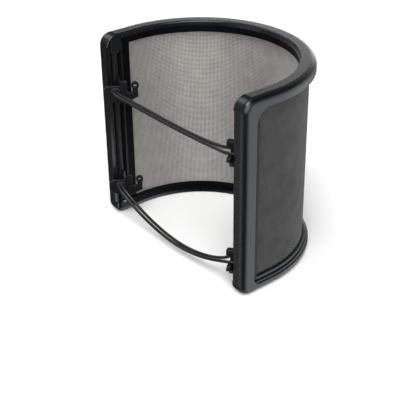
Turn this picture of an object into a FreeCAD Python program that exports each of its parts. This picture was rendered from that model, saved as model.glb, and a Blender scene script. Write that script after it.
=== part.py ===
"""U-shaped pop filter that straps round the head of a studio microphone.

A moulded outer frame and inner frame hold three curved layers (outer metal screen, foam, inner
metal screen). Each front post hides a vertical steel rail, and two clips slide on each rail.
Every pair of clips at one height carries a doubled elastic band.

Units are millimetres, +Z is up. The frame rests on z = 0 and opens towards -Y. The shapes are
drawn about the centre of the round back wall, then moved so that the origin is the middle of the
whole footprint.
"""

import FreeCAD
import Part

import math
import os

# ---- Driving dimensions -------------------------------------------------------------------
HEIGHT = 95.0
OUTER_R = 52.5  # outside of the round back wall
TIP_Y = -18.5  # front face of both posts, from the centre of the back wall
CLIP_FRONT_Y = -21.6  # the clips reach this far forward
ARC_Y = -(OUTER_R + CLIP_FRONT_Y) / 2  # puts the footprint's middle on the origin

# Outer frame
RIM_INNER_R = 44.9
TOP_PLATE = 2.4
BOTTOM_PLATE = 2.0
SHELL_INNER_R = 51.2
TOP_SKIRT = 5.55  # height of the top rim's outer face
BOTTOM_SKIRT = 4.0
WINDOW_FRONT_Y = -11.3
WINDOW_TOP_CORNER = 7.0
WINDOW_BOTTOM_CORNER = 3.3
FRONT_WALL = 1.4
POST_INNER_X = 45.9
TIP_TOP_CORNER = 6.0
TIP_BOTTOM_CORNER = 5.0
EDGE_ROUND = 2.9
INNER_EDGE_ROUND = 0.8
WINDOW_EDGE_ROUND = 0.7
LEDGE_R = 49.75  # inside of the ledges that locate the screens
LEDGES = ((51.9, 5.4), (51.0, 7.2))  # outer radius and top of each step of the bottom ledge
LEDGE_ROUND = 1.15
LEDGE_RETURN_Y = -12.3  # the lower step runs on behind the posts to here
TOP_LEDGE_R, TOP_LEDGE_DROP = 50.8, 5.0

# Inner frame and the three layers
INNER_BAND_R = (45.05, 47.0)
INNER_BAND_DROP = 5.64
INNER_BAR_Y = (-8.9, -5.2)
PACK_FRONT_Y = -8.9
LAYERS = {
    "outer_screen": (49.6, 49.2),
    "filter_foam": (49.1, 47.7),
    "inner_screen": (47.6, 47.15),
}
GAP = 0.1  # between mouldings that are fastened together

# Rails and their brackets
RAIL_X, RAIL_Y, RAIL_R = 47.6, -13.1, 1.7
RAIL_END = 3.4  # from the frame's bottom and top faces
RAIL_FIT = 0.02
BRACKET_Y = (-17.0, -9.0)
BRACKET_X = (46.0, 51.1)
BOTTOM_BOSS, TOP_BOSS = 5.0, 8.2  # from the frame's bottom and top faces to the boss ends
BOSS_ROUND = 0.9
BOSS_X = 45.05
BOSS_Y = (-16.0, -10.2)
CHANNEL_R = 3.0
WASHER_R, WASHER_THICK, WASHER_GAP = 2.7, 0.9, 0.05
SCREW_R, SCREW_HEAD_R, SCREW_HEAD, SCREW_LENGTH = 1.0, 1.9, 1.1, 9.0

# Clips
CLIP_HEIGHTS = {
    "upper": {"left": 67.6, "right": 65.8},
    "lower": {"left": 17.0, "right": 11.4},
}
CLIP_ANGLE = math.radians(34.5)  # of the clip's blade from the post's inner face
BLADE_START = (45.3, -21.3)  # front end of the blade's middle plane, as |x|, y
BLADE_THICK = 1.8
COLLAR_R, COLLAR_FIT = 2.7, 0.06
COLLAR_Z = (-4.0, 5.5)
NECK_Y = (-15.2, -10.6)
NECK_Z = (-4.0, -0.3)
BLADE_LENGTH = 16.2
BLADE_CORNER = 0.55  # rounding of the outline's corners
HORN_CORNER = 1.35
BLADE_SOFT = 0.3  # rounding round the blade's faces
HORN = (7.9, 11.1)  # along the blade
HORN_TOP = 6.0
HOOK_TOP = 6.9
HOOK_NOSE = (2.7, 3.0)  # its underside, and how far it stands out from the blade's middle plane
NOSE_ROUND = 1.2
NOTCH_FLOOR = 0.0
EYE_AT, EYE_R, EYE_HOLE_R = (14.9, 3.4), 1.8, 0.9

# Bands
STRAND_R = 0.75
STRAND_RISE = 1.4  # of the strands above the middle of the clips
CRIMP_AT = 5.3  # along the blade
CRIMP = (4.0, 2.4)  # width and height
CRIMP_FIT = 0.05
CRIMP_REACH = (-1.9, 1.1)  # behind and in front of the blade's middle plane
HALF_SPAN = 39.2  # a strand is level with its ends at this |x|
SAG = {"upper": 1.2, "lower": 10.5}
LOOP = (6.65, 12.35)  # where the loop passes the horn, along the blade
LOOP_BEHIND = -2.15  # and how far behind the blade's middle plane
LOOP_BENDS = {9: 2.5, 10: 1.5, 11: 1.5}  # bend radius by corner of the route
BEND_SHARE = 0.45

Z_AXIS = FreeCAD.Vector(0, 0, 1)
X_AXIS = FreeCAD.Vector(1, 0, 0)


def vec(x, y, z=0.0):
    return FreeCAD.Vector(x, y, z)


def box(x, y, z):
    """A box from three (low, high) pairs."""
    low = vec(x[0], y[0], z[0])
    return Part.makeBox(x[1] - x[0], y[1] - y[0], z[1] - z[0], low)


def cylinder(x, y, radius, z):
    return Part.makeCylinder(radius, z[1] - z[0], vec(x, y, z[0]))


def u_solid(radius, front, z):
    """A half disc with straight sides that run forward to y = front."""
    left, right = vec(-radius, 0, z[0]), vec(radius, 0, z[0])
    left_tip, right_tip = vec(-radius, front, z[0]), vec(radius, front, z[0])
    back = Part.Arc(right, vec(0, radius, z[0]), left).toShape()
    edges = [
        Part.LineSegment(left_tip, right_tip).toShape(),
        Part.LineSegment(right_tip, right).toShape(),
        back,
        Part.LineSegment(left, left_tip).toShape(),
    ]
    return Part.Face(Part.Wire(edges)).extrude(Z_AXIS * (z[1] - z[0]))


def u_band(outer, inner, front, z):
    wide = (z[0] - 1, z[1] + 1)
    return u_solid(outer, front, z).cut(u_solid(inner, front - 1, wide))


def side_profile(front, back, low, high, low_corner, high_corner):
    """A block across the whole width whose front corners are round in side view."""
    quarter = math.sqrt(0.5)
    x = -OUTER_R - 5
    points = {
        "low_back": vec(x, back, low),
        "low_front": vec(x, front + low_corner, low),
        "low_mid": vec(x, front + low_corner * (1 - quarter), low + low_corner * (1 - quarter)),
        "low_up": vec(x, front, low + low_corner),
        "high_down": vec(x, front, high - high_corner),
        "high_mid": vec(x, front + high_corner * (1 - quarter), high - high_corner * (1 - quarter)),
        "high_front": vec(x, front + high_corner, high),
        "high_back": vec(x, back, high),
    }
    p = points
    edges = [
        Part.LineSegment(p["low_back"], p["low_front"]).toShape(),
        Part.Arc(p["low_front"], p["low_mid"], p["low_up"]).toShape(),
        Part.LineSegment(p["low_up"], p["high_down"]).toShape(),
        Part.Arc(p["high_down"], p["high_mid"], p["high_front"]).toShape(),
        Part.LineSegment(p["high_front"], p["high_back"]).toShape(),
        Part.LineSegment(p["high_back"], p["low_back"]).toShape(),
    ]
    return Part.Face(Part.Wire(edges)).extrude(X_AXIS * (-2 * x))


def on_outline(point, radius):
    """Whether a point is on the U outline of that radius."""
    if point.y > 1e-6:
        return abs(math.hypot(point.x, point.y) - radius) < 1e-3
    return abs(abs(point.x) - radius) < 1e-3


def outline_edges(shape, radius):
    """Edges that run along the U outline of that radius, without the wall's own seams."""
    found = []
    for edge in shape.Edges:
        samples = [edge.valueAt(t) for t in (edge.FirstParameter, edge.LastParameter)]
        samples.append(edge.valueAt((edge.FirstParameter + edge.LastParameter) / 2))
        seam = all(abs(p.y) < 1e-3 for p in samples)
        if all(on_outline(p, radius) for p in samples) and not seam:
            found.append(edge)
    return found


def ledge(radius, top):
    """One step of the bottom ledge, rounded along its upper outside edge."""
    step = u_band(radius, LEDGE_R, LEDGE_RETURN_Y, (BOTTOM_PLATE - 0.5, top))
    upper = [e for e in outline_edges(step, radius) if e.BoundBox.ZMin > top - 0.01]
    return step.makeFillet(LEDGE_ROUND, upper)


def window_edges(shape, rim):
    """Edges of the window in the outer wall, on the outside."""
    return [
        edge
        for edge in outline_edges(shape, OUTER_R)
        if edge.BoundBox.YMin > WINDOW_FRONT_Y - 0.1
        and edge.BoundBox.ZMin > rim[0]
        and edge.BoundBox.ZMax < rim[1]
    ]


def mirrored(shape):
    return shape.mirror(vec(0, 0, 0), X_AXIS)


# ---- Frames and layers --------------------------------------------------------------------
def outer_frame():
    everything = (-1, HEIGHT + 1)
    blank = u_solid(OUTER_R, TIP_Y, (0, HEIGHT)).common(
        side_profile(TIP_Y, OUTER_R + 5, 0, HEIGHT, TIP_BOTTOM_CORNER, TIP_TOP_CORNER)
    )
    blank = blank.makeFillet(EDGE_ROUND, outline_edges(blank, OUTER_R))
    blank = blank.cut(u_solid(RIM_INNER_R, TIP_Y - 5, everything))
    inner_rim = outline_edges(blank, RIM_INNER_R)
    blank = blank.makeFillet(INNER_EDGE_ROUND, inner_rim)

    inside_front = TIP_Y + FRONT_WALL
    cavity = u_solid(SHELL_INNER_R, inside_front, (BOTTOM_PLATE, HEIGHT - TOP_PLATE))
    window = side_profile(
        WINDOW_FRONT_Y,
        OUTER_R + 5,
        BOTTOM_SKIRT,
        HEIGHT - TOP_SKIRT,
        WINDOW_BOTTOM_CORNER,
        WINDOW_TOP_CORNER,
    )
    between_flanges = (INNER_BAND_DROP, HEIGHT - INNER_BAND_DROP)
    throat = box((-POST_INNER_X, POST_INNER_X), (TIP_Y - 5, inside_front + 1), between_flanges)
    frame = blank.cut(cavity).cut(window).cut(throat)
    rim = (BOTTOM_SKIRT - 0.1, HEIGHT - TOP_SKIRT + 0.1)
    frame = frame.makeFillet(WINDOW_EDGE_ROUND, window_edges(frame, rim))

    lower_step, upper_step = (ledge(radius, top) for radius, top in LEDGES)
    reach = BRACKET_X[1] + GAP
    brackets = box((-reach, reach), (LEDGE_RETURN_Y - 1, PACK_FRONT_Y), everything)
    in_front = box((-OUTER_R, OUTER_R), (LEDGE_RETURN_Y - 1, PACK_FRONT_Y), everything)
    frame = frame.fuse(lower_step.cut(brackets)).fuse(upper_step.cut(in_front))
    low = HEIGHT - TOP_LEDGE_DROP
    frame = frame.fuse(u_band(TOP_LEDGE_R, LEDGE_R, PACK_FRONT_Y, (low, HEIGHT - TOP_PLATE + 0.5)))
    for side in (-1, 1):
        x = side * RAIL_X
        frame = frame.cut(cylinder(x, RAIL_Y, SCREW_R + GAP, (-1, BOTTOM_PLATE + 1)))
        sink = Part.makeCone(
            SCREW_HEAD_R + GAP, SCREW_R + GAP, SCREW_HEAD, vec(x, RAIL_Y, 0.15)
        )
        frame = frame.cut(sink).cut(cylinder(x, RAIL_Y, SCREW_HEAD_R + GAP, (-1, 0.15)))
    return frame.removeSplitter()


def inner_frame():
    low, high = BOTTOM_PLATE + GAP, HEIGHT - TOP_PLATE - GAP
    inner, outer = INNER_BAND_R
    top = u_band(outer, inner, PACK_FRONT_Y, (HEIGHT - INNER_BAND_DROP, high))
    bottom = u_band(outer, inner, PACK_FRONT_Y, (low, INNER_BAND_DROP))
    frame = top.fuse(bottom)
    for side in (-1, 1):
        x = sorted((side * (POST_INNER_X + GAP), side * outer))
        frame = frame.fuse(box(x, INNER_BAR_Y, (low, high)))
    return frame.removeSplitter()


def layer(name):
    outer, inner = LAYERS[name]
    height = (BOTTOM_PLATE + GAP, HEIGHT - TOP_PLATE - GAP)
    return u_band(outer, inner, PACK_FRONT_Y, height)


# ---- Rails (drawn for the right post) --------------------------------------------------------
def rail_bracket():
    low, high = BOTTOM_PLATE + GAP, HEIGHT - TOP_PLATE - GAP
    body = box(BRACKET_X, BRACKET_Y, (low, high))
    for z in ((low, BOTTOM_BOSS), (HEIGHT - TOP_BOSS, high)):
        boss = box((BOSS_X, BRACKET_X[0] + 1), BOSS_Y, z)
        edges = [e for e in boss.Edges if abs(e.valueAt(0).x - BOSS_X) < 1e-6 and upright(e)]
        body = body.fuse(boss.makeFillet(BOSS_ROUND, edges))
    channel = (BOTTOM_BOSS, HEIGHT - TOP_BOSS)
    mouth = box((BOSS_X - 1, RAIL_X), (RAIL_Y - CHANNEL_R, RAIL_Y + CHANNEL_R), channel)
    body = body.cut(cylinder(RAIL_X, RAIL_Y, CHANNEL_R, channel)).cut(mouth)
    socket = (RAIL_END - 0.1, HEIGHT - RAIL_END + 0.1)
    body = body.cut(cylinder(RAIL_X, RAIL_Y, RAIL_R + RAIL_FIT, socket))
    body = body.cut(cylinder(RAIL_X, RAIL_Y, SCREW_R + GAP, (0, RAIL_END)))
    return body.removeSplitter()


def upright(edge):
    a, b = edge.Vertexes[0].Point, edge.Vertexes[-1].Point
    return abs(a.x - b.x) < 1e-6 and abs(a.y - b.y) < 1e-6


def rail():
    bar = cylinder(RAIL_X, RAIL_Y, RAIL_R, (RAIL_END, HEIGHT - RAIL_END))
    bar = bar.makeChamfer(0.3, bar.Edges)
    return bar.cut(cylinder(RAIL_X, RAIL_Y, SCREW_R + RAIL_FIT, (0, SCREW_LENGTH + 1)))


def rail_washers():
    solids = []
    for low in (BOTTOM_BOSS + WASHER_GAP, HEIGHT - TOP_BOSS - WASHER_GAP - WASHER_THICK):
        z = (low, low + WASHER_THICK)
        ring = cylinder(RAIL_X, RAIL_Y, WASHER_R, z)
        solids.append(ring.cut(cylinder(RAIL_X, RAIL_Y, RAIL_R + RAIL_FIT, z)))
    return Part.makeCompound(solids)


def rail_screw():
    head = Part.makeCone(SCREW_HEAD_R, SCREW_R, SCREW_HEAD, vec(RAIL_X, RAIL_Y, 0.15))
    shank = cylinder(RAIL_X, RAIL_Y, SCREW_R, (0.2, SCREW_LENGTH))
    slot = box((RAIL_X - 1.4, RAIL_X + 1.4), (RAIL_Y - 0.25, RAIL_Y + 0.25), (0, 0.65))
    cross = box((RAIL_X - 0.25, RAIL_X + 0.25), (RAIL_Y - 1.4, RAIL_Y + 1.4), (0, 0.65))
    return head.fuse(shank).cut(slot).cut(cross).removeSplitter()


# ---- Clips (drawn for the right post, with their middle at z = 0) ----------------------------
def on_blade(along, out, z=0.0):
    """A point given along the blade from its front end, and out from its middle plane."""
    along_x, along_y = -math.sin(CLIP_ANGLE), math.cos(CLIP_ANGLE)
    out_x, out_y = -math.cos(CLIP_ANGLE), -math.sin(CLIP_ANGLE)
    x = BLADE_START[0] + along * along_x + out * out_x
    y = BLADE_START[1] + along * along_y + out * out_y
    return vec(x, y, z)


def blade_prism(wire_points, out):
    """The outline (along, z) made solid between two distances out from the middle plane."""
    corners = [on_blade(s, out[0], z) for s, z in wire_points]
    face = Part.Face(Part.makePolygon(corners + corners[:1]))
    return face.extrude(on_blade(0, out[1]) - on_blade(0, out[0]))


def corner_edges(solid, thick, high):
    """Edges across the blade, at its outline's corners; high picks the horn's top or the others."""
    return [
        edge
        for edge in solid.Edges
        if abs(edge.Length - thick) < 1e-6
        and edge.BoundBox.ZLength < 1e-3
        and (edge.BoundBox.ZMax > HORN_TOP - 1e-3) == high
    ]


def flat_outline(body, half):
    """The edges round both flat faces of the blade."""
    middle, out = on_blade(0, 0), on_blade(0, 1) - on_blade(0, 0)
    return [
        edge
        for edge in body.Edges
        if all(abs(abs((v.Point - middle).dot(out)) - half) < 1e-6 for v in edge.Vertexes)
        and abs(edge.CenterOfMass.sub(middle).dot(out)) > half - 1e-3
    ]


def blade_cylinder(along, z, radius, out):
    direction = on_blade(0, 1) - on_blade(0, 0)
    return Part.makeCylinder(radius, out[1] - out[0], on_blade(along, out[0], z), direction)


def clip(hooked):
    """hooked: the band's loop passes behind the horn; otherwise its crimp sits in the blade."""
    half = BLADE_THICK / 2
    thick = (-half, half)
    top = HOOK_TOP if hooked else HORN_TOP
    outline = [
        (10.6, -5.4),
        (13.4, -3.6),
        (BLADE_LENGTH, -2.4),
        (BLADE_LENGTH, 3.4),
        (13.7, 3.4),
        (13.6, NOTCH_FLOOR),
        (HORN[1], NOTCH_FLOOR),
        (HORN[1], top),
        (HORN[0], top),
    ]
    if hooked:
        outline += [(HORN[0], NOTCH_FLOOR), (5.5, NOTCH_FLOOR), (5.2, 2.5), (2.4, 2.5)]
        outline += [(1.0, 1.7), (1.0, 0.2), (4.2, -1.4), (6.6, -4.6), (8.6, -5.6)]
    else:
        outline += [(HORN[0], 3.6), (2.4, 3.6), (0, 2.1), (0, -1.9), (3.4, -4.4), (7.4, -5.6)]
    body = blade_prism(outline, thick)
    body = body.makeFillet(HORN_CORNER, corner_edges(body, BLADE_THICK, True))
    body = body.makeFillet(BLADE_CORNER, corner_edges(body, BLADE_THICK, False))
    body = body.makeFillet(BLADE_SOFT, flat_outline(body, half))
    if hooked:
        body = body.fuse(hook_nose())
    eye = blade_cylinder(*EYE_AT, EYE_R, thick)
    eye = eye.makeFillet(BLADE_SOFT, flat_outline(eye, half))
    body = body.fuse(eye).cut(blade_cylinder(*EYE_AT, EYE_HOLE_R, (-2, 2)))

    neck = box((BLADE_START[0] - 14, RAIL_X), NECK_Y, NECK_Z)
    behind = blade_prism([(-8, -9), (26, -9), (26, 9), (-8, 9)], (-16, 0))
    body = body.fuse(neck.common(behind))
    body = body.fuse(cylinder(RAIL_X, RAIL_Y, COLLAR_R, COLLAR_Z))
    body = body.cut(cylinder(RAIL_X, RAIL_Y, RAIL_R + COLLAR_FIT, (-8, 8)))
    if not hooked:
        body = body.cut(crimp_shape(CRIMP_FIT, (-4, 4)))
    front = box((0, 60), (CLIP_FRONT_Y, 0), (-10, 10))
    return body.common(front).removeSplitter()


def hook_nose():
    """The rounded end of the hook, which stands out over the strands."""
    low, reach = HOOK_NOSE
    start, end = HORN
    corners = [(start, low), (end, low), (end, HOOK_TOP), (start, HOOK_TOP)]
    block = blade_prism(corners, (0, reach))
    face, out = on_blade(0, reach), on_blade(0, 1) - on_blade(0, 0)
    around = [
        edge
        for edge in block.Edges
        if all(abs((v.Point - face).dot(out)) < 1e-6 for v in edge.Vertexes)
    ]
    across = [e for e in block.Edges if abs(e.Length - reach) < 1e-6 and e.BoundBox.ZLength < 1e-3]
    return block.makeFillet(NOSE_ROUND, around + across)


def crimp_shape(grow, reach):
    """A flat-sided oval sleeve, lying across the blade."""
    width, height = CRIMP[0] / 2, CRIMP[1] / 2 + grow
    flat = width - CRIMP[1] / 2
    ends = [blade_cylinder(CRIMP_AT + side * flat, STRAND_RISE, height, reach) for side in (-1, 1)]
    low, high = CRIMP_AT - flat, CRIMP_AT + flat
    top, bottom = STRAND_RISE + height, STRAND_RISE - height
    middle = blade_prism([(low, bottom), (high, bottom), (high, top), (low, top)], reach)
    return middle.fuse(ends).removeSplitter()


# ---- Bands ------------------------------------------------------------------------------------
def hang(level, x):
    """Height of a hanging strand at x, between its ends on the left and the right clip."""
    ends = CLIP_HEIGHTS[level]
    share = min(1.0, max(-1.0, x / HALF_SPAN))
    chord = ends["left"] + (ends["right"] - ends["left"]) * (1 + share) / 2
    return chord + STRAND_RISE - SAG[level] * (1 - share**2)


def band_route(level):
    """Corner points of the loop: out along the front strand, round the right clip's horn and
    back along the rear strand."""

    def left(along, out):
        p = on_blade(along, out)
        return vec(-p.x, p.y, CLIP_HEIGHTS[level]["left"] + STRAND_RISE)

    def right(along, out):
        p = on_blade(along, out)
        return vec(p.x, p.y, CLIP_HEIGHTS[level]["right"] + STRAND_RISE)

    front = ((-33.4, -20.1), (-24.5, -19.6), (-12.6, -18.9), (0.4, -18.5), (13.4, -18.0))
    front += ((25.4, -17.5), (33.9, -17.1))
    rear = ((34.0, -13.9), (26.3, -15.2), (13.9, -16.0), (0.9, -16.4), (-12.1, -16.8))
    rear += ((-24.1, -17.5), (-32.6, -18.0))
    points = [left(CRIMP_AT - 0.9, CRIMP_REACH[1]), left(CRIMP_AT - 0.9, 5.1)]
    points += [vec(x, y, hang(level, x)) for x, y in front]
    points += [right(LOOP[0], 2.3), right(LOOP[0], LOOP_BEHIND)]
    points += [right(LOOP[1], LOOP_BEHIND), right(LOOP[1], 0.9)]
    points += [vec(x, y, hang(level, x)) for x, y in rear]
    points += [left(CRIMP_AT + 0.9, 4.9), left(CRIMP_AT + 0.9, CRIMP_REACH[1])]
    return points


def tube(name, points, radius, tight):
    """Straight runs joined by tangent arcs; tight gives the bend radius at points round a hook."""
    edges, radii = [], []
    last = points[0]
    for i in range(1, len(points) - 1):
        before, corner, after = points[i - 1], points[i], points[i + 1]
        towards, onwards = (before - corner).normalize(), (after - corner).normalize()
        turn = math.pi - towards.getAngle(onwards)
        shorter = min((before - corner).Length, (after - corner).Length)
        bend = tight.get(i, BEND_SHARE * shorter / math.tan(turn / 2))
        cut = bend * math.tan(turn / 2)
        start, end = corner + towards * cut, corner + onwards * cut
        inward = (towards + onwards).normalize()
        middle = corner + inward * (bend / math.cos(turn / 2) - bend)
        edges.append(Part.LineSegment(last, start).toShape())
        edges.append(Part.Arc(start, middle, end).toShape())
        radii.append(round(bend, 1))
        last = end
    edges.append(Part.LineSegment(last, points[-1]).toShape())
    path = Part.Wire(edges)
    direction = (points[1] - points[0]).normalize()
    section = Part.Wire(Part.makeCircle(radius, points[0], direction))
    solid = path.makePipeShell([section], True, True)
    expected = math.pi * radius**2 * path.Length
    print(name, "bend radii", radii)
    print(name, "length", round(path.Length, 2), "volume", round(solid.Volume, 2), round(expected, 2))
    return solid


def band(level):
    return tube(level + "_band", band_route(level), STRAND_R, LOOP_BENDS)


# ---- Assembly ----------------------------------------------------------------------------------
def build():
    nodes = {"outer_frame": outer_frame(), "inner_frame": inner_frame()}
    for name in LAYERS:
        nodes[name] = layer(name)
    for name, shape in {
        "rail_bracket": rail_bracket(),
        "rail": rail(),
        "rail_washers": rail_washers(),
        "rail_screw": rail_screw(),
    }.items():
        nodes["right_" + name] = shape
        nodes["left_" + name] = mirrored(shape)
    for level, heights in CLIP_HEIGHTS.items():
        left_lift, right_lift = Z_AXIS * heights["left"], Z_AXIS * heights["right"]
        nodes[level + "_right_clip"] = clip(True).translated(right_lift)
        nodes[level + "_left_clip"] = mirrored(clip(False)).translated(left_lift)
        crimp = mirrored(crimp_shape(0, CRIMP_REACH))
        nodes[level + "_band_crimp"] = crimp.translated(left_lift)
        nodes[level + "_band"] = band(level)
    return nodes


os.makedirs("parts", exist_ok=True)
for node, shape in build().items():
    shape = shape.translated(vec(0, ARC_Y, 0))
    shape.exportStep("parts/" + node + ".step")
    size = shape.BoundBox
    print(node, len(shape.Solids), shape.isValid(), round(shape.Volume, 1), end=" ")
    print([round(v, 2) for v in (size.XMin, size.XMax, size.YMin, size.YMax, size.ZMin, size.ZMax)])
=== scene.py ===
"""Looks of the U-shaped pop filter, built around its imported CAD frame.

The bands, the woven screens and the foam are modelled here. The frames, brackets, rails,
screws, washers, crimps and clips keep their CAD meshes and only get materials. The scene is
in metres. Sizes are in millimetres unless they say otherwise, as in the CAD model.
"""

import math

import bpy
import numpy as np
from mathutils import Matrix, Vector


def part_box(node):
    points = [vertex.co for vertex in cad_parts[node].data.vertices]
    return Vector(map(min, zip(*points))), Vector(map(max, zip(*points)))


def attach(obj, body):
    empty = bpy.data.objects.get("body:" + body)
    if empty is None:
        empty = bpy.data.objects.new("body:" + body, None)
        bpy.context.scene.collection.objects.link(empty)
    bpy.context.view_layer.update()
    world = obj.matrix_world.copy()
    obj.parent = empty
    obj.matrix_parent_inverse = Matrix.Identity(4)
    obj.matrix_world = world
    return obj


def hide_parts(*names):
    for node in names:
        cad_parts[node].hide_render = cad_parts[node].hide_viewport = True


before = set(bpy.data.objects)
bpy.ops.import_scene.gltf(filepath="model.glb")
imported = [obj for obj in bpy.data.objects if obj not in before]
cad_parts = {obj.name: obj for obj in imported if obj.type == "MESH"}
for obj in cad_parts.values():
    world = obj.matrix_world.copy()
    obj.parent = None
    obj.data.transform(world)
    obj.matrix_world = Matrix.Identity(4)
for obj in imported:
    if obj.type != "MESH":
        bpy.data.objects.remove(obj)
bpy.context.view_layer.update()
MM = 0.001

# ---- Camera, fitted to the photo ---------------------------------------------------------------
CAMERA_AT = (0.31515, -0.26788, 0.25332)  # metres
CAMERA_TARGET = (0.00244, -0.01246, 0.01641)  # metres
CAMERA_SENSOR = 36.0
CAMERA_LENS = 83.81
CAMERA_ROLL = -0.477  # degrees

# ---- Clips and bands ---------------------------------------------------------------------------
ARC_Y = -15.45  # centre of the round back wall, from which the points below count their y
CLIP_ANGLE = math.radians(34.5)  # of the blades, inward from straight back
BLADE_START = (45.3, -21.3)  # on the right clips; the left ones are their mirror images
CLIP_HEIGHTS = {
    "upper": {"left": 67.6, "right": 65.8},
    "lower": {"left": 17.0, "right": 11.4},
}
STRAND_RISE = 1.4  # of a strand above its clip's height
STRAND_D = 1.5
HALF_SPAN = 39.2  # from the middle to where the sag is zero
SAG = {"upper": 1.2, "lower": 10.5}

# Corner points of a band, in order. On a clip they are (along the blade, out from its middle),
# and between the clips they are (x, y).
LEFT_START = ((4.4, 1.1), (4.4, 5.1))
FRONT_STRAND = (
    (-33.4, -20.1), (-24.5, -19.6), (-12.6, -18.9), (0.4, -18.5),
    (13.4, -18.0), (25.4, -17.5), (33.9, -17.1),
)
RIGHT_LOOP = ((6.65, 2.3), (6.65, -2.15), (12.35, -2.15), (12.35, 0.9))
REAR_STRAND = (
    (34.0, -13.9), (26.3, -15.2), (13.9, -16.0), (0.9, -16.4),
    (-12.1, -16.8), (-24.1, -17.5), (-32.6, -18.0),
)
LEFT_END = ((6.2, 4.9), (6.2, 1.1))

TUBE_SIDES = 32
RING_STEP = 0.14
CARRIERS = 8  # yarns that run each way round the braid
BRAID_STEP = 1.0  # length along the band in which a yarn moves on by one place
BRAID_DEPTH = 0.11
OVER_SHARE = 0.45  # of the relief that comes from passing over; the rest is the yarn's round form
FLECK_EVERY = 4  # yarns

# ---- Screens and foam --------------------------------------------------------------------------
SCREEN_EDGE = 0.25  # from the CAD layer's edges to the outermost wires
# Thickness, pitch and wire of each weave, and which way its wires' ridges face: 1 is outward
SCREENS = {
    "outer_screen": {
        "slot": "outer_mesh", "thick": 0.40, "pitch": 0.70, "wire": 0.28, "facing": 1,
    },
    "inner_screen": {
        "slot": "inner_mesh", "thick": 0.45, "pitch": 0.68, "wire": 0.31, "facing": -1,
    },
}
FOAM_THICK = 1.4
FOAM_SLACK = 0.08  # left between the foam's faces and the CAD layer's
FOAM_SWELL = 0.05
FOAM_WAVES = (900, 1100)  # radians per metre, round the U and upward
FOAM_GRID = (260, 130)

# ---- Stage -------------------------------------------------------------------------------------
FLOOR_HALF = 4.0  # metres
AMBIENT = 0.45
DARKEST = 0.02
# Soft panels, or dark flags where negative: direction, half width in degrees, strength
PANELS = (
    ((0.58, 0.63, -0.52), 58, 1.4),
    ((-0.80, -0.36, -0.47), 55, -0.45),
    ((-0.35, -0.80, -0.47), 35, 0.6),
    ((-0.66, 0.75, 0.03), 25, 2.2),
    ((-0.62, 0.50, 0.60), 31, -0.43),
    ((0.416, 0.608, 0.677), 45, -0.45),
    ((0.70, -0.52, -0.48), 50, -0.40),
    ((-0.45, 0.55, -0.70), 35, -0.15),
    ((0.08, 0.55, -0.83), 32, -0.45),
    ((-0.67, -0.17, 0.72), 21, 2.4),
)

# Sockets of a Mix node that mixes colours
MIX_FACTOR, MIX_A, MIX_B, MIX_RESULT = 0, 6, 7, 2


# ---- Small helpers -----------------------------------------------------------------------------
def new_object(name, data):
    obj = bpy.data.objects.new(name, data)
    bpy.context.scene.collection.objects.link(obj)
    return obj


def mesh_object(name, verts, faces, smooth=True):
    mesh = bpy.data.meshes.new(name)
    mesh.from_pydata(np.asarray(verts).tolist(), [], faces)
    mesh.polygons.foreach_set("use_smooth", [smooth] * len(mesh.polygons))
    mesh.update()
    return new_object(name, mesh)


def feed(tree, socket, value):
    """Links a node's output to the socket, or sets the socket's own value."""
    if isinstance(value, bpy.types.NodeSocket):
        tree.links.new(value, socket)
    else:
        socket.default_value = value


def add_node(tree, kind, inputs, **settings):
    node = tree.nodes.new("ShaderNode" + kind)
    for key, value in settings.items():
        setattr(node, key, value)
    for key, value in inputs.items():
        feed(tree, node.inputs[key], value)
    return node


class Nodes:
    """Short way to write a material's node tree."""

    def __init__(self, name):
        self.material = bpy.data.materials.new(name)
        self.material.use_nodes = True
        self.tree = self.material.node_tree
        self.shader = self.tree.nodes["Principled BSDF"]
        self.place = self.add("TexCoord").outputs["Object"]

    def add(self, kind, inputs=None, **settings):
        return add_node(self.tree, kind, inputs or {}, **settings)

    def shade(self, **inputs):
        for key, value in inputs.items():
            feed(self.tree, self.shader.inputs[key.replace("_", " ")], value)
        return self.material

    def noise(self, scale, detail=3.0, roughness=0.5, stretch=None):
        place = self.place
        if stretch:
            place = self.add("Mapping", {"Vector": place, "Scale": stretch}).outputs[0]
        inputs = {"Vector": place, "Scale": scale, "Detail": detail, "Roughness": roughness}
        return self.add("TexNoise", inputs).outputs["Fac"]

    def spread(self, value, low, high, inside=(0.3, 0.7)):
        """Maps a noise value from the range inside to low..high."""
        inputs = {
            "Value": value,
            "From Min": inside[0],
            "From Max": inside[1],
            "To Min": low,
            "To Max": high,
        }
        return self.add("MapRange", inputs).outputs["Result"]

    def mix(self, value, low, high):
        """The colour low where value is 0, and high where it is 1."""
        inputs = {MIX_FACTOR: value, MIX_A: (*low, 1), MIX_B: (*high, 1)}
        return self.add("Mix", inputs, data_type="RGBA").outputs[MIX_RESULT]

    def bump(self, height, depth, strength):
        inputs = {"Height": height, "Distance": depth, "Strength": strength}
        return self.add("Bump", inputs).outputs["Normal"]


def times(colour, factor):
    return tuple(channel * factor for channel in colour)


# ---- Camera ------------------------------------------------------------------------------------
def make_camera():
    eye = Vector(CAMERA_AT)
    target = Vector(CAMERA_TARGET)
    data = bpy.data.cameras.new("camera")
    data.sensor_width = CAMERA_SENSOR
    data.lens = CAMERA_LENS
    data.clip_start, data.clip_end = 0.01, 20.0
    camera = new_object("camera", data)
    look = (target - eye).to_track_quat("-Z", "Y").to_matrix().to_4x4()
    roll = Matrix.Rotation(math.radians(CAMERA_ROLL), 4, "Z")
    camera.matrix_world = Matrix.Translation(eye) @ look @ roll
    bpy.context.scene.camera = camera


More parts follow.
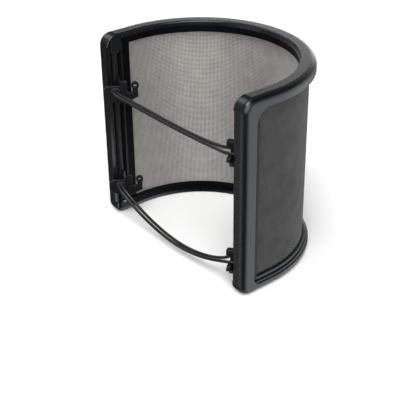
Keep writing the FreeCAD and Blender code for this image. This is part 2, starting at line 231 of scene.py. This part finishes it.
# ---- Bands -------------------------------------------------------------------------------------
def on_blade(side, points, z):
    """Points given along a clip's blade and out from its middle; side is -1 for left."""
    found = []
    for along, out in points:
        x = BLADE_START[0] - along * math.sin(CLIP_ANGLE) - out * math.cos(CLIP_ANGLE)
        y = BLADE_START[1] + along * math.cos(CLIP_ANGLE) - out * math.sin(CLIP_ANGLE)
        found.append((side * x, y, z))
    return found


def hanging(points, left_z, right_z, sag):
    """Points between the clips, on a parabola that hangs from the line between their heights."""
    found = []
    for x, y in points:
        share = min(1.0, max(-1.0, x / HALF_SPAN))
        chord = left_z + (right_z - left_z) * (1 + share) / 2
        found.append((x, y, chord - sag * (1 - share**2)))
    return found


def band_route(level):
    """The same corner points as in the CAD model, in metres."""
    left_z = CLIP_HEIGHTS[level]["left"] + STRAND_RISE
    right_z = CLIP_HEIGHTS[level]["right"] + STRAND_RISE
    points = on_blade(-1, LEFT_START, left_z)
    points += hanging(FRONT_STRAND, left_z, right_z, SAG[level])
    points += on_blade(1, RIGHT_LOOP, right_z)
    points += hanging(REAR_STRAND, left_z, right_z, SAG[level])
    points += on_blade(-1, LEFT_END, left_z)
    return [(x * MM, (y + ARC_Y) * MM, z * MM) for x, y, z in points]


def smooth_line(name, points):
    """Points along the NURBS spline whose control points are the route's."""
    curve = bpy.data.curves.new(name + "_route", "CURVE")
    curve.dimensions = "3D"
    curve.resolution_u = 160
    spline = curve.splines.new("NURBS")
    spline.points.add(len(points) - 1)
    for control, point in zip(spline.points, points, strict=True):
        control.co = (*point, 1.0)
    spline.order_u = 3
    spline.use_endpoint_u = True
    route = new_object(name + "_route", curve)
    bpy.context.view_layer.update()
    line = bpy.data.meshes.new_from_object(route)
    found = np.array([v.co[:] for v in line.vertices])
    bpy.data.objects.remove(route)
    bpy.data.meshes.remove(line)
    return found


def evenly(points, step):
    """The same line with points about a step apart, and each point's distance along it."""
    along = np.concatenate([[0], np.cumsum(np.linalg.norm(np.diff(points, axis=0), axis=1))])
    count = int(round(along[-1] / step)) + 1
    wanted = np.linspace(0, along[-1], count)
    return np.stack([np.interp(wanted, along, points[:, k]) for k in range(3)], axis=1), wanted


def carried_frames(points):
    """Two directions across the line at each point, carried along without twist."""
    tangents = np.gradient(points, axis=0)
    tangents /= np.linalg.norm(tangents, axis=1)[:, None]
    first = np.zeros_like(points)
    side = np.cross(tangents[0], (0, 0, 1.0))
    for i, tangent in enumerate(tangents):
        side = side - tangent * side.dot(tangent)
        side /= np.linalg.norm(side)
        first[i] = side
    return first, np.cross(tangents, first)


def braid(angle, distance):
    """Relief from 0 to 1 and yarn number of a plain round braid, by angle and distance along."""
    u = angle * CARRIERS / (2 * math.pi) + distance / (BRAID_STEP * MM)
    v = angle * CARRIERS / (2 * math.pi) - distance / (BRAID_STEP * MM)
    iu, iv = np.floor(u), np.floor(v)
    over_a = 0.5 + 0.5 * np.sin(math.pi * v) * np.where(iu % 2 == 0, 1, -1)
    over_b = 0.5 - 0.5 * np.sin(math.pi * u) * np.where(iv % 2 == 0, 1, -1)
    dome_a = np.sqrt(np.clip(1 - (2 * (u - iu) - 1) ** 2, 0, 1))
    dome_b = np.sqrt(np.clip(1 - (2 * (v - iv) - 1) ** 2, 0, 1))
    height_a = OVER_SHARE * over_a + (1 - OVER_SHARE) * dome_a
    height_b = OVER_SHARE * over_b + (1 - OVER_SHARE) * dome_b
    yarn = np.where(height_a > height_b, iu % CARRIERS, CARRIERS + iv % CARRIERS)
    return np.maximum(height_a, height_b), yarn


def make_band(level, material):
    """The doubled elastic strand, as one tube with its braided cover in relief."""
    name = level + "_elastic"
    line, distance = evenly(smooth_line(name, band_route(level)), RING_STEP * MM)
    across, up = carried_frames(line)
    angle = np.arange(TUBE_SIDES) * 2 * math.pi / TUBE_SIDES
    grid_angle, grid_distance = np.meshgrid(angle, distance)
    relief, yarn = braid(grid_angle, grid_distance)
    radius = (STRAND_D / 2 - BRAID_DEPTH * (1 - relief)) * MM
    verts = line[:, None, :] + radius[..., None] * (
        np.cos(grid_angle)[..., None] * across[:, None, :]
        + np.sin(grid_angle)[..., None] * up[:, None, :]
    )
    rings = len(line)
    index = np.arange(rings * TUBE_SIDES).reshape(rings, TUBE_SIDES)
    turned = np.roll(index, -1, axis=1)
    faces = np.stack([index[:-1], turned[:-1], turned[1:], index[1:]], axis=-1)
    faces = faces.reshape(-1, 4).tolist() + [index[0, ::-1].tolist(), index[-1].tolist()]
    band = mesh_object(name, verts.reshape(-1, 3), faces)
    for key, values in (("fleck", yarn % FLECK_EVERY == 1), ("relief", relief)):
        attribute = band.data.attributes.new(key, "FLOAT", "POINT")
        attribute.data.foreach_set("value", values.astype(np.float32).ravel())
    band.data.materials.append(material)
    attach(band, level + "_left_slider")
    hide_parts(level + "_band")


# ---- Woven screens and foam --------------------------------------------------------------------
def u_outline(node, inset):
    """Radius, straight length, whole length and height range of a CAD layer's middle line."""
    low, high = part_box(node)
    radius = high.x - inset
    straight = ARC_Y * MM - low.y - SCREEN_EDGE * MM
    return radius, straight, math.pi * radius + 2 * straight, (low.z, high.z)


def round_the_u(radius, straight, distance):
    """Points and outward directions at distances along the U, from the left front edge."""
    centre = ARC_Y * MM
    arc = math.pi * radius
    angle = math.pi - np.clip((distance - straight) / radius, 0, math.pi)
    on_left = distance < straight
    on_right = distance > straight + arc
    out_x, out_y = np.cos(angle), np.sin(angle)
    x, y = radius * out_x, centre + radius * out_y
    y = np.where(on_left, centre - (straight - distance), y)
    y = np.where(on_right, centre - (distance - straight - arc), y)
    return x, y, out_x, out_y


def prisms(lines, ridges, across, wire_r, corners=3):
    """Wires along many lines at once (wires x rings x 3), with one corner toward the ridges."""
    wires, rings = lines.shape[:2]
    verts = np.zeros((wires, rings, corners, 3))
    for k in range(corners):
        turn = 2 * math.pi * k / corners + math.pi / 2
        verts[:, :, k] = lines + wire_r * (math.cos(turn) * across + math.sin(turn) * ridges)
    index = np.arange(wires * rings * corners).reshape(wires, rings, corners)
    turned = np.roll(index, -1, axis=2)
    faces = np.stack([index[:, :-1], index[:, 1:], turned[:, 1:], turned[:, :-1]], axis=-1)
    caps = np.concatenate([index[:, 0, ::-1], index[:, -1]])
    return verts.reshape(-1, 3), faces.reshape(-1, 4).tolist() + caps.tolist()


def make_screen(node, material, slot, thick, pitch, wire, facing):
    """Plain weave for a CAD screen: upright warp wires, and weft wires that run round the U."""
    thick, pitch, wire = thick * MM, pitch * MM, wire * MM
    radius, straight, length, (z_low, z_high) = u_outline(node, thick / 2)
    z_low, z_high = z_low + SCREEN_EDGE * MM, z_high - SCREEN_EDGE * MM
    warps = int(length / pitch)
    wefts = int((z_high - z_low) / pitch)
    distance = np.linspace(0, length, warps)
    heights = np.linspace(z_low, z_high, wefts)
    x, y, out_x, out_y = round_the_u(radius, straight, distance)
    normal = np.zeros((warps, wefts, 3))
    normal[..., 0], normal[..., 1] = out_x[:, None], out_y[:, None]
    middle = np.zeros((warps, wefts, 3))
    middle[..., 0], middle[..., 1], middle[..., 2] = x[:, None], y[:, None], heights[None, :]
    along = np.cross(normal, (0.0, 0.0, 1.0))
    upright = np.zeros((wefts, warps, 3))
    upright[..., 2] = 1.0
    even = (np.arange(warps)[:, None] + np.arange(wefts)[None, :]) % 2 == 0
    shift = normal * ((thick - wire) / 2 * np.where(even, 1.0, -1.0))[..., None]
    ridges = facing * normal
    warp = prisms(middle + shift, ridges, along, wire / 2)
    weft_lines = (middle - shift).transpose(1, 0, 2)
    weft = prisms(weft_lines, ridges.transpose(1, 0, 2), upright, wire / 2)
    for kind, (verts, faces) in (("warp", warp), ("weft", weft)):
        piece = mesh_object(node + "_" + kind, verts, faces)
        piece.data.materials.append(material)
        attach(piece, "frame")
        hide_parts(node)


def make_foam(material):
    """A soft curved slab of open-cell foam between the screens."""
    thick = FOAM_THICK * MM
    radius, straight, length, (z_low, z_high) = u_outline("filter_foam", thick / 2)
    columns, rows = FOAM_GRID
    distance = np.linspace(0, length, columns)
    heights = np.linspace(z_low, z_high, rows)
    x, y, out_x, out_y = round_the_u(radius, straight, distance)
    waves = np.sin(distance * FOAM_WAVES[0])[:, None] * np.sin(heights * FOAM_WAVES[1])[None, :]
    verts = []
    for side in (1, -1):
        off = side * (thick / 2 - FOAM_SLACK * MM) + FOAM_SWELL * MM * waves
        layer = np.zeros((columns, rows, 3))
        layer[..., 0] = x[:, None] + out_x[:, None] * off
        layer[..., 1] = y[:, None] + out_y[:, None] * off
        layer[..., 2] = heights[None, :]
        verts.append(layer)
    verts = np.array(verts).reshape(-1, 3)
    outer, inner = np.arange(2 * columns * rows).reshape(2, columns, rows)

    def quads(a, b, c, d):
        return np.stack([a, b, c, d], axis=-1).reshape(-1, 4)

    faces = [
        quads(outer[:-1, :-1], outer[:-1, 1:], outer[1:, 1:], outer[1:, :-1]),
        quads(inner[:-1, :-1], inner[1:, :-1], inner[1:, 1:], inner[:-1, 1:]),
        quads(outer[:-1, 0], outer[1:, 0], inner[1:, 0], inner[:-1, 0]),
        quads(outer[:-1, -1], inner[:-1, -1], inner[1:, -1], outer[1:, -1]),
        quads(outer[0, :-1], inner[0, :-1], inner[0, 1:], outer[0, 1:]),
        quads(outer[-1, :-1], outer[-1, 1:], inner[-1, 1:], inner[-1, :-1]),
    ]
    foam = mesh_object("foam_layer", verts, np.concatenate(faces).tolist())
    foam.data.materials.append(material)
    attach(foam, "frame")
    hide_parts("filter_foam")


# ---- Materials ---------------------------------------------------------------------------------
def moulded_plastic(name, base, roughness, grain, gloss=0.5):
    """Satin moulded plastic: fine spark-eroded grain, faint flow marks and handling marks."""
    n = Nodes(name)
    flow = n.noise(scale=60.0, detail=2.0, stretch=(1.0, 1.0, 0.35))
    fine = n.noise(scale=3200.0, detail=4.0, roughness=0.6)
    marks = n.noise(scale=420.0, detail=6.0, roughness=0.7, stretch=(1.0, 1.0, 0.12))
    colour = n.mix(n.spread(flow, 0.0, 1.0), base, times(base, 1.15))
    rough = n.add("Math", {0: n.spread(marks, -0.04, 0.05), 1: n.spread(flow, -0.02, 0.02)})
    rough = n.add("Math", {0: rough.outputs[0], 1: roughness}).outputs[0]
    n.shade(Base_Color=colour, Roughness=rough)
    n.shade(Normal=n.bump(fine, depth=grain, strength=0.05))
    return n.shade(Specular_IOR_Level=gloss, Specular_Tint=(0.90, 0.97, 1.0, 1.0))


def metal(name, base, roughness, drawn, metallic=1.0, gloss=0.5):
    """Metal with fine drawing marks along the given stretch of the noise."""
    n = Nodes(name)
    lines = n.noise(scale=1500.0, detail=5.0, roughness=0.65, stretch=drawn)
    tone = n.noise(scale=180.0)
    colour = n.mix(n.spread(tone, 0.0, 1.0), times(base, 0.86), base)
    rough = n.spread(lines, roughness - 0.06, roughness + 0.08)
    n.shade(Base_Color=colour, Roughness=rough)
    n.shade(Normal=n.bump(lines, depth=1.5e-6, strength=0.3))
    return n.shade(Metallic=metallic, Specular_IOR_Level=gloss)


def coated_wire(name, base, roughness):
    """Painted wire whose tone and sheen vary a little."""
    n = Nodes(name)
    tone = n.spread(n.noise(scale=140.0, detail=4.0), 0.0, 1.0)
    colour = n.mix(tone, times(base, 0.8), times(base, 1.2))
    rough = n.spread(n.noise(scale=900.0), roughness - 0.06, roughness + 0.08)
    return n.shade(Base_Color=colour, Roughness=rough)


def braided_elastic():
    """Textile cover: black yarns with grey-brown fleck yarns, with painted shade in the grooves
    between them.
    """
    n = Nodes("braided_elastic")
    fleck = n.add("Attribute", attribute_name="fleck").outputs["Fac"]
    relief = n.add("Attribute", attribute_name="relief").outputs["Fac"]
    yarn = n.mix(fleck, (0.003, 0.003, 0.003), (0.014, 0.0135, 0.011))
    # painted shade: the yarn colour is multiplied darker where the braid's relief is low, between
    # the yarns
    groove_shade = n.spread(relief, 0.45, 1.0, inside=(0.45, 0.95))
    grey = n.add("CombineColor", {0: groove_shade, 1: groove_shade, 2: groove_shade}).outputs[0]
    layers = {MIX_FACTOR: 1.0, MIX_A: yarn, MIX_B: grey}
    shaded = n.add("Mix", layers, data_type="RGBA", blend_type="MULTIPLY").outputs[MIX_RESULT]
    threads = n.noise(scale=9000.0)
    n.shade(Base_Color=shaded, Normal=n.bump(threads, depth=1.2e-5, strength=0.5))
    return n.shade(Roughness=0.3, Sheen_Weight=0.02, Sheen_Roughness=0.4)


def open_foam():
    """Grey open-cell foam, with painted shade in its cells."""
    n = Nodes("open_foam")
    cells = n.add("TexVoronoi", {"Vector": n.place, "Scale": 1800.0}).outputs["Distance"]
    # painted shade: the colour gets darker farther from the cell points, for shade in the cells
    depth = n.spread(cells, 0.0, 1.0, inside=(0.1, 0.6))
    colour = n.mix(depth, (0.11, 0.107, 0.10), (0.05, 0.05, 0.05))
    n.shade(Normal=n.bump(cells, depth=1.5e-4, strength=0.8))
    return n.shade(Base_Color=colour, Roughness=0.95)


def dress(nodes, material):
    """Puts the material on CAD nodes."""
    for node in nodes:
        for material_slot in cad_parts[node].material_slots:
            material_slot.material = material


def both_sides(name):
    return ["left_" + name, "right_" + name]


# ---- Stage -------------------------------------------------------------------------------------
def add_sun(name, energy, angle, from_where):
    data = bpy.data.lights.new(name, "SUN")
    data.energy = energy
    data.angle = math.radians(angle)
    sun = new_object(name, data)
    sun.rotation_mode = "QUATERNION"
    sun.rotation_quaternion = Vector(from_where).to_track_quat("Z", "Y")


def make_floor():
    """A pale floor, which reflections don't show, so that they show the panels below it."""
    signs = ((-1, -1), (1, -1), (1, 1), (-1, 1))
    corners = [(x * FLOOR_HALF, y * FLOOR_HALF, 0) for x, y in signs]
    floor = mesh_object("floor", corners, [(0, 1, 2, 3)], smooth=False)
    n = Nodes("pale_floor")
    tone = n.spread(n.noise(scale=3.0, detail=2.0), 0.0, 1.0)
    colour = n.mix(tone, (0.93, 0.93, 0.93), (0.96, 0.96, 0.96))
    floor.data.materials.append(n.shade(Base_Color=colour, Roughness=0.8))
    floor.visible_glossy = False


def make_world():
    """A studio of soft panels and dark flags, which the camera sees as plain white."""
    world = bpy.data.worlds.new("studio")
    bpy.context.scene.world = world
    world.use_nodes = True
    tree = world.node_tree

    def add(kind, *values, **settings):
        return add_node(tree, kind, dict(enumerate(values)), **settings).outputs

    toward = add("TexCoord")["Generated"]
    level = AMBIENT
    for direction, width, strength in PANELS:
        facing = add("VectorMath", toward, direction, operation="DOT_PRODUCT")["Value"]
        edge = math.cos(math.radians(width))
        reach = (facing, edge, 1.0, 0.0, strength)
        glow = add("MapRange", *reach, interpolation_type="SMOOTHSTEP")["Result"]
        level = add("Math", level, glow, operation="ADD")[0]
    level = add("Math", level, DARKEST, operation="MAXIMUM")[0]
    # Past the floor's edge the backdrop is seen as plain white
    level = add("Math", level, add("LightPath")["Is Camera Ray"], operation="MAXIMUM")[0]
    background = tree.nodes["Background"]
    feed(tree, background.inputs["Color"], (1, 1, 1, 1))
    feed(tree, background.inputs["Strength"], level)


# ---- Building it -------------------------------------------------------------------------------
bpy.context.scene.view_settings.view_transform = "Standard"
make_camera()

elastic = braided_elastic()
for level in CLIP_HEIGHTS:
    make_band(level, elastic)

wires = {
    "outer_screen": coated_wire("outer_wire", base=(0.078, 0.078, 0.079), roughness=0.5),
    "inner_screen": metal(
        "inner_wire", base=(0.84, 0.82, 0.78), roughness=0.5, drawn=(1.0, 1.0, 1.0), metallic=0.85
    ),
}
for node, sizes in SCREENS.items():
    make_screen(node, wires[node], **sizes)
make_foam(open_foam())

dress(
    ["outer_frame"],
    moulded_plastic("frame_plastic", base=(0.003, 0.0031, 0.0035), roughness=0.27, grain=1.0e-5),
)
dress(
    ["inner_frame"],
    moulded_plastic(
        "inner_plastic", base=(0.0016, 0.0018, 0.0024), roughness=0.5, grain=1.2e-5, gloss=0.05
    ),
)
dress(
    both_sides("rail_bracket"),
    moulded_plastic(
        "bracket_plastic", base=(0.006, 0.0055, 0.007), roughness=0.45, grain=1.0e-5, gloss=0.2
    ),
)
dress(
    [level + "_" + side + "_clip" for level in CLIP_HEIGHTS for side in ("left", "right")],
    moulded_plastic(
        "clip_plastic", base=(0.006, 0.0055, 0.0065), roughness=0.30, grain=0.8e-5, gloss=0.2
    ),
)
dress(
    both_sides("rail"),
    metal(
        "rail_steel", base=(0.007, 0.0068, 0.0075), roughness=0.36, drawn=(1.0, 1.0, 0.05),
        metallic=0.0, gloss=0.3,
    ),
)
dress(
    both_sides("rail_washers") + both_sides("rail_screw"),
    metal("washer_steel", base=(0.16, 0.16, 0.16), roughness=0.22, drawn=(1.0, 1.0, 0.3)),
)
dress(
    [level + "_band_crimp" for level in CLIP_HEIGHTS],
    metal(
        "crimp_metal", base=(0.05, 0.05, 0.052), roughness=0.4, drawn=(1.0, 1.0, 0.2), metallic=0.4
    ),
)

make_floor()
add_sun("softbox", energy=2.0, angle=32, from_where=(0.26, -0.33, 0.91))
add_sun("side_fill", energy=2.4, angle=60, from_where=(0.8, -0.5, 0.35))
make_world()
